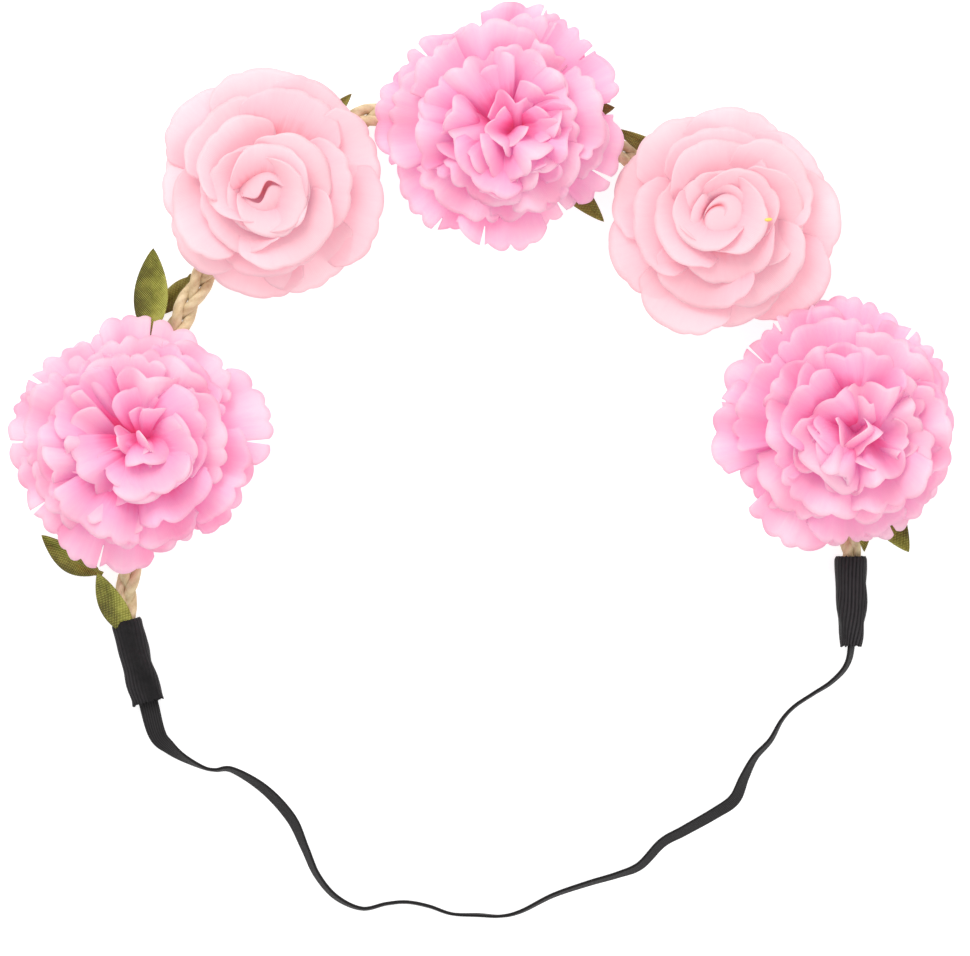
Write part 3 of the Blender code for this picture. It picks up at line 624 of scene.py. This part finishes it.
def make_flower(name, seed):
    kind = name.split("_")[0]
    discs, look, cloth = (
        (CARNATION_DISCS, CARNATION_LOOK, CARNATION) if kind == "carnation" else (ROSE_DISCS, ROSE_LOOK, ROSE)
    )
    rng = np.random.default_rng(seed)
    matrix = Matrix.Translation(JOINTS[name]["pos_m"])
    parts, turn = {}, rng.uniform(0, 360)
    for number, (part, count, length, fan, lift, droop, base, pleat, cup, scatter) in enumerate(discs):
        surface = parts.setdefault(part, Surface())
        middle = np.array(OFF_CENTRE[name]) * number / (len(discs) - 1)
        turn += 180 / count + rng.uniform(-12, 12)
        spots = [(turn + 360 * (k + rng.uniform(-0.14, 0.14)) / count, length) for k in range(count)]
        for heading_deg, long in OUTER_PETALS[name] if number == 0 else spots:
            high = base + rng.uniform(-0.5, 0.5)
            slits = int(look["slit"] > 0 and number == 0 and rng.uniform() < 0.5)
            long = long * (1 if number == 0 else rng.uniform(0.93, 1.06))
            rise = lift * (1 - LEAN[kind] * math.cos(math.radians(heading_deg - LEANS[name])))
            folds = (pleat, cup, scatter, slits, middle)
            petal(surface, rng, look, heading_deg, long, fan, rise, droop, high, *folds)
    if kind == "carnation":
        add_heart(parts["petals_core"], OFF_CENTRE[name])
    for part, surface in parts.items():
        piece = surface.object(f"{name}_{part}_cloth", cloth, matrix, CLOTH)
        finish_piece(piece, name, f"{kind}_cloth", f"{name}_{part}")
    if kind == "rose":
        make_bud(name, matrix, turn)
    if name == "rose_right":
        near_middle = parts["petals_inner"].points + parts["petals_second"].points
        make_speck(name, np.concatenate(near_middle), matrix)


SPECK_PLACE, SPECK_SIZE = np.array((11.4, 0.6)) * MM, (0.85 * MM, 0.5 * MM, 0.35 * MM)


def make_speck(name, cloth, matrix):
    """The small blob of glue that shows on a petal's rim."""
    near = cloth[np.linalg.norm(cloth[:, :2] - SPECK_PLACE, axis=1) < 1.2 * MM]
    top = near[near[:, 2].argmax()]
    turn = np.linspace(0, 2 * math.pi, 24, endpoint=False)[None, :]
    rise = np.linspace(-math.pi / 2 + 0.05, math.pi / 2 - 0.05, 12)[:, None]
    size = 1 + 0.12 * np.sin(2 * turn + 1) * np.cos(rise)
    level = np.sin(rise) + 0 * turn
    ball = np.stack((np.cos(rise) * np.cos(turn), np.cos(rise) * np.sin(turn), level), axis=-1)
    surface = Surface()
    surface.grid(top + ball * size[..., None] * np.array(SPECK_SIZE), closed=True)
    piece = surface.object(f"{name}_glue_speck", SPECK, matrix)
    finish_piece(piece, name, "hot_glue")


SLIT_HEADING = math.radians(20)
# Sizes of a rose's middle in millimetres: the roll's radius and top, then the folded lips' radius, foot,
# two tops and how deep they dip into the slit, then the foot and top of the petals wrapped round either.
ROLL_RADIUS, ROLL_TOP = 4.9, 18.2
LIPS_RADIUS, LIPS_FOOT, LIPS_TOPS, LIPS_DIP = 6.6, 11.5, (19.4, 18.2), 2.2
WRAP_FOOT, WRAP_TOP = 9.5, 18.8


def add_roll(surface, turn):
    """A domed roll of cloth with a spiral slit in its top."""
    theta = np.linspace(0, 2 * math.pi, 72, endpoint=False)[None, :]
    r = np.linspace(0.002, 1, 26)[:, None]
    spiral = (theta - math.radians(turn) - 3.4 * r + math.pi) % (2 * math.pi) - math.pi
    groove = np.exp(-((spiral / 0.30) ** 2)) * np.clip(3 * r, 0, 1)
    uneven = 1 + 0.13 * np.sin(2 * theta + turn)
    radius = ROLL_RADIUS * np.sin(math.pi / 2 * np.minimum(r * 1.25, 1)) * uneven
    height = ROLL_TOP - 2.6 * r**3 - 9 * np.clip(r - 0.8, 0, 1) / 0.2 - 1.5 * groove * (r < 0.85)
    dome = np.stack((radius * np.cos(theta), radius * np.sin(theta), height), axis=-1) * MM
    # Painted shade: the roll is darker in its spiral groove.
    shade = (0.85 - 0.75 * groove)[:, ::-1]
    surface.grid(dome[:, ::-1], closed=True, reach=shade, fold=0.5, vary=0.5, across=0.0)


def add_lips(surface, turn):
    """Two folded petals that meet along a winding slit and dip into it."""
    for side, tall in zip((1, -1), LIPS_TOPS):
        u = np.linspace(-1, 1, 48)[None, :]
        v = np.linspace(0, 1, 30)[:, None]
        x_far, y_far = LIPS_RADIUS * np.sin(1.5 * u), side * LIPS_RADIUS * np.cos(1.5 * u)
        x_near = 5.0 * u
        gape = side * (0.1 + 0.75 * np.cos(math.pi / 2 * u) ** 1.5)
        y_near = 1.5 * np.sin(0.75 * x_near) * (1 - 0.2 * u**2) + gape
        over = np.minimum(v / 0.72, 1.0)
        dip = np.clip(v - 0.72, 0, 1) / 0.28
        x = x_far + (x_near - x_far) * over**1.3
        y = y_far + (y_near - y_far) * over**1.3 + side * 0.9 * np.sin(math.pi * dip)
        rise = (tall - LIPS_FOOT - 1.6 * u**2) * np.sin(math.pi / 2 * over) ** 0.8
        height = LIPS_FOOT + rise - LIPS_DIP * dip**1.2
        east = x * math.cos(turn) - y * math.sin(turn)
        north = x * math.sin(turn) + y * math.cos(turn)
        # Painted shade: the lips darken towards the slit, and most where they dip into it.
        shade = 0.9 - 0.2 * over**3 - 0.7 * np.minimum(dip * 1.4, 1) + 0 * u
        points = np.stack((east, north, height), axis=-1) * MM
        surface.grid(points, reach=shade, fold=0.5, vary=0.5, across=u * 6 + 0 * v)


def make_bud(name, matrix, turn):
    """A rose's middle: petals wrapped round a rolled bud or round a folded one."""
    surface = Surface()
    matrix = matrix @ Matrix.Translation(Vector((*OFF_CENTRE[name], 0)) * MM)
    folded = name == "rose_left"
    if folded:
        add_lips(surface, SLIT_HEADING)
    else:
        add_roll(surface, turn)
    v = np.linspace(0, 1, 16)[:, None]
    for k in range(4):
        u = np.linspace(-1, 1, 48)[None, :]
        wind = math.radians(turn + 137 * k) + u * math.radians(80 - 5 * k)
        flare = (1.7 + 0.3 * k) * np.clip(v - 0.55, 0, 1) ** 2 * 4.5 * (1 - 0.3 * u**2)
        wall = (5.4 + 0.95 * k + 0.7 * u + 0.25 * np.sin(5 * u + k)) * (0.55 + 0.45 * v**0.6)
        if folded:
            wall = wall + 1.5 * v
        top = WRAP_TOP - 0.75 * k - 3.4 * np.abs(u) ** 3 + 0.25 * np.sin(7 * u + 2 * k)
        height = WRAP_FOOT + (top - WRAP_FOOT) * np.sin(math.pi / 2 * v)
        radius = wall + flare
        points = np.stack((radius * np.cos(wind), radius * np.sin(wind), height), axis=-1) * MM
        # The wrapped petals are deeper towards their foot, partly the dye and partly painted shade inside the
        # bud.
        surface.grid(points, reach=0.1 + 0.8 * v**1.3 + 0 * u, fold=0.5, vary=0.4, across=u * 8 + 0 * v)
    piece = surface.object(f"{name}_bud_cloth", ROSE, matrix, CLOTH)
    finish_piece(piece, name, "rose_cloth", f"{name}_bud")


# ---------------------------------------------------------------- leaves

LEAF_CLOTH = 0.25 * MM


def make_leaf(name, body, foot, tip, width, neck, bend, vary, blunt=False):
    """A pointed leaf of satin ribbon, creased along its middle, or a flatter one cut blunt at its foot. bend
    turns it sideways along its length."""
    surface = Surface()
    along = (tip - foot).normalized()
    across = UP.cross(along).normalized()
    normal = along.cross(across)
    length = (tip - foot).length
    v = np.linspace(0, 1, 40)[:, None]
    u = np.linspace(-1, 1, 15)[None, :]
    blade = np.clip((v - neck) / (1 - neck), 0, 1)
    half = np.maximum(width / 2 * np.sin(math.pi * blade**0.85) ** 0.8, 0.75 * MM * (v < 0.5))
    if blunt:
        half = width / 2 * np.sin(math.pi * (0.25 + 0.75 * v)) ** 0.8
    half = np.maximum(half, 0.02 * MM)
    side = u * half + bend * np.sin(math.pi * v)
    depth = -0.12 if blunt else -0.42
    crease = depth * (1 - np.abs(u) ** 0.8) * half + 0.5 * MM * u * np.sin(2 * math.pi * v)
    crease = crease + 0.3 * MM * np.sin(6 * v + 2.0 * u) * np.sin(math.pi * v)
    base = np.array(foot) + np.multiply.outer(v[:, 0] * length, np.array(along))[:, None, :]
    points = base + side[..., None] * np.array(across) + crease[..., None] * np.array(normal)
    surface.grid(
        points, along=v * length / MM + 0 * u, across=u * half / MM, vary=np.clip(vary + 0 * v + 0 * u, 0, 1)
    )
    piece = surface.object(f"{name}_ribbon", LEAF, None, LEAF_CLOTH)
    finish_piece(piece, body, "leaf_satin", name)


# Foot and tip in a flower's own space, along the braid and outward, in millimetres; then width, neck's
# share, sideways bend and how brown it is.
LEAF_HEIGHT = 4.65
FLOWER_LEAVES = (
    ("carnation_left", "leaf_upper_left", (-5.0, 0.5), (-46.6, 6.7), 8.2, 0.5, -0.6, 0.0),
    ("rose_left", "leaf_top_left", (-5.0, 0.2), (-29.4, 0.8), 4.6, 0.25, 0.2, 0.5),
    ("carnation_top", "leaf_top_right", (-5.0, 2.0), (-26.4, 9.2), 6.4, 0.25, 0.5, 0.9),
    ("carnation_top", "leaf_inner_right", (-4.6, -2.2), (-28.2, -18.2), 6.0, 0.25, 0.5, 0.4),
    ("rose_right", "leaf_over_braid", (5.0, 2.2), (34.8, -0.2), 4.6, 0.25, -1.6, 0.5),
    ("carnation_right", "leaf_lower_right", (-4.6, 2.2), (-32.2, 10.2), 8.6, 0.25, -0.6, 0.1),
    ("carnation_right", "leaf_beside_sleeve", (-5.0, 0.6), (-29.8, -0.2), 5.4, 0.25, 1.6, 0.2),
)
# Foot and tip from the left flower's foot along +X and +Y, and both heights, in millimetres; then width,
# neck's share, sideways bend and how brown it is, as above.
BRAID_LEAVES = (
    ("leaf_lower_left", (-8.0, -31.4), (-22.8, -22.0), (7.2, 3.6), 6.0, 0.04, 1.2, 0.0),
    ("leaf_into_sleeve", (-2.7, -43.3), (-9.1, -31.0), (7.3, 8.2), 6.2, 0.05, 0.5, 0.0),
    ("leaf_behind_braid", (13.4, 40.6), (4.2, 30.8), (0.8, 1.6), 5.0, 0.04, 0.4, 0.5),
)


def make_leaves():
    for body, name, foot, tip, width, neck, bend, vary in FLOWER_LEAVES:
        matrix = flower_matrix(body)
        ends = [matrix @ (Vector((x, -y, LEAF_HEIGHT)) * MM) for x, y in (foot, tip)]
        make_leaf(name, body, *ends, width * MM, neck, bend * MM, vary)
    base = flower_place(FLOWERS[0])
    for name, foot, tip, heights, width, neck, bend, vary in BRAID_LEAVES:
        ends = [base + Vector((*place, height)) * MM for place, height in zip((foot, tip), heights)]
        make_leaf(name, ROOT, *ends, width * MM, neck, bend * MM, vary, name == "leaf_into_sleeve")


# ---------------------------------------------------------------- braid

STRAND_RADIUS, STRAND_SWING, STRAND_LIFT = 1.28 * MM, 1.85 * MM, 1.5 * MM
BRAID_PERIOD, PLY_TWIST, PLIES = 27.0 * MM, 9.0 * MM, 3
SIDES = 20


def make_strands():
    line = braid_line()
    for k, name in enumerate(("braid_strand_a", "braid_strand_b", "braid_strand_c")):
        centres, reach = spaced(line, 620)
        phase = 2 * math.pi * (reach / BRAID_PERIOD + k / 3)
        side = np.cross((0, 0, 1), tangents(centres))
        from_end = np.minimum(reach, reach[-1] - reach)
        inside = np.interp(from_end, (0, SLEEVE_GRIP, 2.4 * SLEEVE_GRIP), (0.5, 0.6, 1))
        path = centres + side * (STRAND_SWING * inside * np.sin(phase))[:, None]
        path[:, 2] += STRAND_LIFT * inside * np.sin(2 * phase)
        surface = Surface()
        ahead = tangents(path)
        out = np.cross(ahead, (0, 0, 1))
        out /= np.linalg.norm(out, axis=1)[:, None]
        over = np.cross(out, ahead)
        turn = np.linspace(0, 2 * math.pi, SIDES, endpoint=False)[None, :]
        twist = turn + (2 * math.pi * reach / PLY_TWIST)[:, None]
        lobe = np.abs(np.cos(PLIES / 2 * twist))
        radius = STRAND_RADIUS * (0.92 + 0.08 * lobe**0.7)
        ring = radius[..., None] * (
            np.cos(turn)[..., None] * out[:, None, :] + np.sin(turn)[..., None] * over[:, None, :]
        )
        surface.grid(
            path[:, None, :] + ring,
            closed=True,
            along=(reach / MM)[:, None] + 0 * turn,
            around=twist * 2,
            groove=1 - lobe,
        )
        surface.fan((path[:, None, :] + ring)[0][::-1], {})
        surface.fan((path[:, None, :] + ring)[-1], {})
        piece = surface.object(f"{name}_cord", CORD)
        finish_piece(piece, ROOT, "braid_cord", name)


# ---------------------------------------------------------------- sleeves and elastic

# Half width, half height and corner radius at the braid's end, the middle and the elastic's end.
LEFT_SECTIONS = ((3.85, 4.0, 3.2), (3.75, 3.4, 2.6), (4.15, 2.2, 1.5))
RIGHT_SECTIONS = ((4.0, 4.0, 3.2), (3.7, 3.9, 2.7), (2.4, 3.3, 1.6))
SLEEVE_WALL = 0.55 * MM
RIB_PITCH, RIB_HEIGHT = 0.82 * MM, 0.22 * MM
# The wrap is pulled in to this share of the CAD sleeve's half width.
WRAP_SHARE = 0.97
# The length round a sleeve that its ribs are counted on, and how far it crumples in or out.
WRAP_GIRTH, CRUMPLE = 24.0 * MM, 0.16 * MM
SLEEVE_COLUMNS, SLEEVE_ROWS = 240, 90


def rounded_section(half_width, half_height, corner, count):
    """A rounded rectangle that stands on the table, its points at equal steps, with its outward normals."""
    arc = np.linspace(0, math.pi / 2, 12)
    points, normals = [], []
    for quarter in range(4):
        turn = arc + quarter * math.pi / 2
        y = (1, -1, -1, 1)[quarter] * (half_width - corner) + corner * np.cos(turn)
        z = (1, 1, -1, -1)[quarter] * (half_height - corner) + corner * np.sin(turn)
        points.append(np.stack((y, z), axis=-1))
        normals.append(np.stack((np.cos(turn), np.sin(turn)), axis=-1))
    loop = np.concatenate(points)
    loop = np.concatenate((loop, loop[:1]))
    sides = np.concatenate(normals)
    sides = np.concatenate((sides, sides[:1]))
    even, side_y, side_z, reach = spaced(loop, count + 1, sides[:, 0], sides[:, 1])
    out = np.stack((side_y, side_z), axis=-1)[:-1]
    return even[:-1], out / np.linalg.norm(out, axis=1)[:, None], reach[:-1]


def make_sleeve(name, mouth, degrees, sections, seed, over=0.0):
    """A ribbed wrap from its mouth on the braid to its end on the elastic. over moves the mouth along it."""
    rng = np.random.default_rng(seed)
    share = np.linspace(0, 1, SLEEVE_ROWS)
    keys = np.array(sections) * MM
    outside, inside, ribs = [], [], []
    wander = rng.uniform(0, 2 * math.pi, 6)
    for s in share:
        half_width, half_height, corner = (np.interp(s, (0, 0.6, 1), keys[:, k]) for k in range(3))
        half_width *= WRAP_SHARE
        even, out, reach = rounded_section(half_width, half_height, corner, SLEEVE_COLUMNS)
        rib_count = round(WRAP_GIRTH / RIB_PITCH)
        turn = 2 * math.pi * reach / (reach[-1] + reach[1])
        sway = 1.1 * np.sin(2.6 * s + turn + wander[0]) + 0.35 * np.sin(9 * s + 2 * turn)
        drift = turn + wander[4] + 0.8 * np.sin(4 * s + wander[5])
        # gathered fades the ribs here and there, both their height and their painted glints.
        gathered = 0.5 + 0.5 * np.sin(drift) * np.cos(1.5 * s + 2 * turn)
        rib = np.abs(np.cos(rib_count / 2 * turn + sway)) ** 0.7 * gathered
        crumple = CRUMPLE * np.sin(3 * turn + 7 * s + wander[1]) * np.sin(5 * s + wander[2])
        crumple += CRUMPLE * np.sin(2 * turn + 15 * s + wander[3]) * (0.3 + s)
        mouth_turn = -0.35 * MM * max(0.0, 1 - s / 0.05) ** 2
        base = even + out * (crumple + mouth_turn + 1.8 * RIB_HEIGHT * (rib - 0.5))[:, None]
        far = np.full(SLEEVE_COLUMNS, over + s * (SLEEVE_LENGTH - over))
        outside.append(np.column_stack((far, base[:, 0], base[:, 1] + half_height)))
        hollow = even - out * SLEEVE_WALL
        inside.append(np.column_stack((far, hollow[:, 0], hollow[:, 1] + half_height)))
        ribs.append(rib)
    ragged = 0.25 * MM * np.sin(11 * turn + wander[4]) + 0.2 * MM * np.sin(23 * turn + wander[5])
    outside[0][:, 0] += 0.3 * ragged
    outside[-1][:, 0] += ragged
    loops = [inside[0], *outside, inside[-1], *inside[::-1][1:]]
    surface = Surface()
    grid = np.stack(loops)
    values = np.stack([ribs[0], *ribs, ribs[-1], *ribs[::-1][1:]])
    surface.grid(grid[:, ::-1], closed=True, rib=values[:, ::-1], along=grid[:, ::-1, 0] / MM)
    place = Matrix.Translation(mouth) @ Matrix.Rotation(math.radians(degrees), 4, "Z")
    piece = surface.object(f"{name}_wrap", SLEEVE, place)
    finish_piece(piece, ROOT, "sleeve_wrap", name)


def band_line():
    across = RIGHT_END - LEFT_END
    start = LEFT_END - heading(LEFT_HEADING) * SLEEVE_GRIP
    rows = [(start, LEFT_END_HEIGHT, 0.0), (LEFT_END, LEFT_END_HEIGHT, 0.0)]
    for share, below, turn in BAND_ROUTE:
        lean = math.radians(turn)
        half = BAND_WIDTH / 2 * abs(math.sin(lean)) + BAND_THICKNESS / 2 * abs(math.cos(lean))
        rows.append((LEFT_END + across * share - Vector((0, below, 0)), half + 0.3 * MM, turn))
    rows.append((RIGHT_END, RIGHT_END_HEIGHT, RIGHT_END_TURN))
    rows.append((RIGHT_END - heading(RIGHT_HEADING) * SLEEVE_GRIP, RIGHT_END_HEIGHT, RIGHT_END_TURN))
    fine = smooth_route([np.array((p.x, p.y, height, turn / 1000)) for p, height, turn in rows], 12)
    places, turns, reach = spaced(fine[:, :3], 700, fine[:, 3] * 1000)
    return places, np.radians(turns), reach


def make_band():
    places, turns, reach = band_line()
    ahead = tangents(places)
    flat = np.cross((0, 0, 1), ahead)
    flat /= np.linalg.norm(flat, axis=1)[:, None]
    over = np.cross(ahead, flat)
    wide = np.cos(turns)[:, None] * flat + np.sin(turns)[:, None] * over
    thick = np.cross(ahead, wide)
    ribs, per_rib = 8, 6
    across = np.linspace(-1, 1, ribs * per_rib + 1)
    # rib shapes the band and also paints its crests lighter, as painted glints.
    rib = np.abs(np.cos(math.pi / 2 * ribs * across + math.pi / 2))
    edge = np.sqrt(np.clip(1 - np.abs(across) ** 12, 0, 1))
    high = BAND_THICKNESS / 2 * edge * (0.78 + 0.22 * rib)
    outline_x = np.concatenate((across, across[::-1][1:-1])) * BAND_WIDTH / 2
    outline_y = np.concatenate((high, -high[::-1][1:-1]))
    ribbed = np.concatenate((rib, rib[::-1][1:-1]))
    ring = outline_x[None, :, None] * wide[:, None, :] + outline_y[None, :, None] * thick[:, None, :]
    surface = Surface()
    points = places[:, None, :] + ring
    along = (reach / MM)[:, None] + 0 * outline_x
    surface.grid(points[:, ::-1], closed=True, rib=ribbed[None, ::-1], along=along)
    surface.fan(points[0], {})
    surface.fan(points[-1][::-1], {})
    piece = surface.object("elastic_band_ribbed", BAND)
    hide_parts("elastic_band")
    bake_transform(piece)


# ---------------------------------------------------------------- carried-over nodes


def dress_nodes():
    for name, node in frame["nodes"].items():
        material = GLUE if "glue" in name else PLASTIC if name.endswith(("calyx", "peg")) else None
        if material:
            for slot in node.material_slots:
                slot.material = material


# ---------------------------------------------------------------- stage, light and camera


TABLE_REACH = 3.0


def make_stage():
    mesh = bpy.data.meshes.new("table")
    corners = ((-1, -1), (1, -1), (1, 1), (-1, 1))
    mesh.from_pydata([(x * TABLE_REACH, y * TABLE_REACH, 0) for x, y in corners], [], [(0, 1, 2, 3)])
    table = bpy.data.objects.new("table", mesh)
    table.location.z = -0.2 * MM
    bpy.context.scene.collection.objects.link(table)
    n = Nodes("table_white")
    white = n.ramp(n.noise(3.0), ((0.3, (0.48, 0.48, 0.48)), (0.7, (0.52, 0.52, 0.52))))
    n.set(base_color=white, roughness=0.9)
    n.set(emission_color=(1, 1, 1, 1), emission_strength=0.72)
    mesh.materials.append(n.material)


def area_light(name, place, size, power, aim):
    light = bpy.data.lights.new(name, "AREA")
    light.energy, light.size = power, size
    lamp = bpy.data.objects.new(name, light)
    lamp.location = place
    lamp.rotation_euler = (Vector(aim) - Vector(place)).to_track_quat("-Z", "Y").to_euler()
    bpy.context.scene.collection.objects.link(lamp)


def make_lights():
    world = bpy.data.worlds.new("studio")
    world.use_nodes = True
    world.node_tree.nodes["Background"].inputs["Color"].default_value = (1, 1, 1, 1)
    world.node_tree.nodes["Background"].inputs["Strength"].default_value = 0.92
    bpy.context.scene.world = world
    aim = (0, -0.02, 0)
    area_light("key", (-0.35, 0.75, 0.9), 0.7, 8.5, aim)
    area_light("fill", (0.8, -0.5, 0.9), 0.9, 3.0, aim)
    bpy.context.scene.view_settings.view_transform = "Standard"


CAMERA_HEIGHT, VIEW_WIDTH, VIEW_LEVEL = 1.6, 232.8 * MM, 8 * MM
VIEW_CENTRE = RING_CENTRE + Vector((-1.2 * MM, 0.5 * MM, 0))


def make_camera():
    camera = bpy.data.cameras.new("above")
    camera.lens = camera.sensor_width * CAMERA_HEIGHT / VIEW_WIDTH
    thing = bpy.data.objects.new("above", camera)
    thing.location = VIEW_CENTRE + UP * (CAMERA_HEIGHT + VIEW_LEVEL)
    bpy.context.scene.collection.objects.link(thing)
    bpy.context.scene.camera = thing


make_camera()
make_band()
make_strands()
make_sleeve("sleeve_left", LEFT_MOUTH, LEFT_HEADING, LEFT_SECTIONS, 3)
make_sleeve("sleeve_right", RIGHT_MOUTH, RIGHT_HEADING, RIGHT_SECTIONS, 4, -1.2 * MM)
make_leaves()
for number, flower in enumerate(FLOWERS):
    make_flower(flower, 20 + number)
dress_nodes()
make_stage()
make_lights()
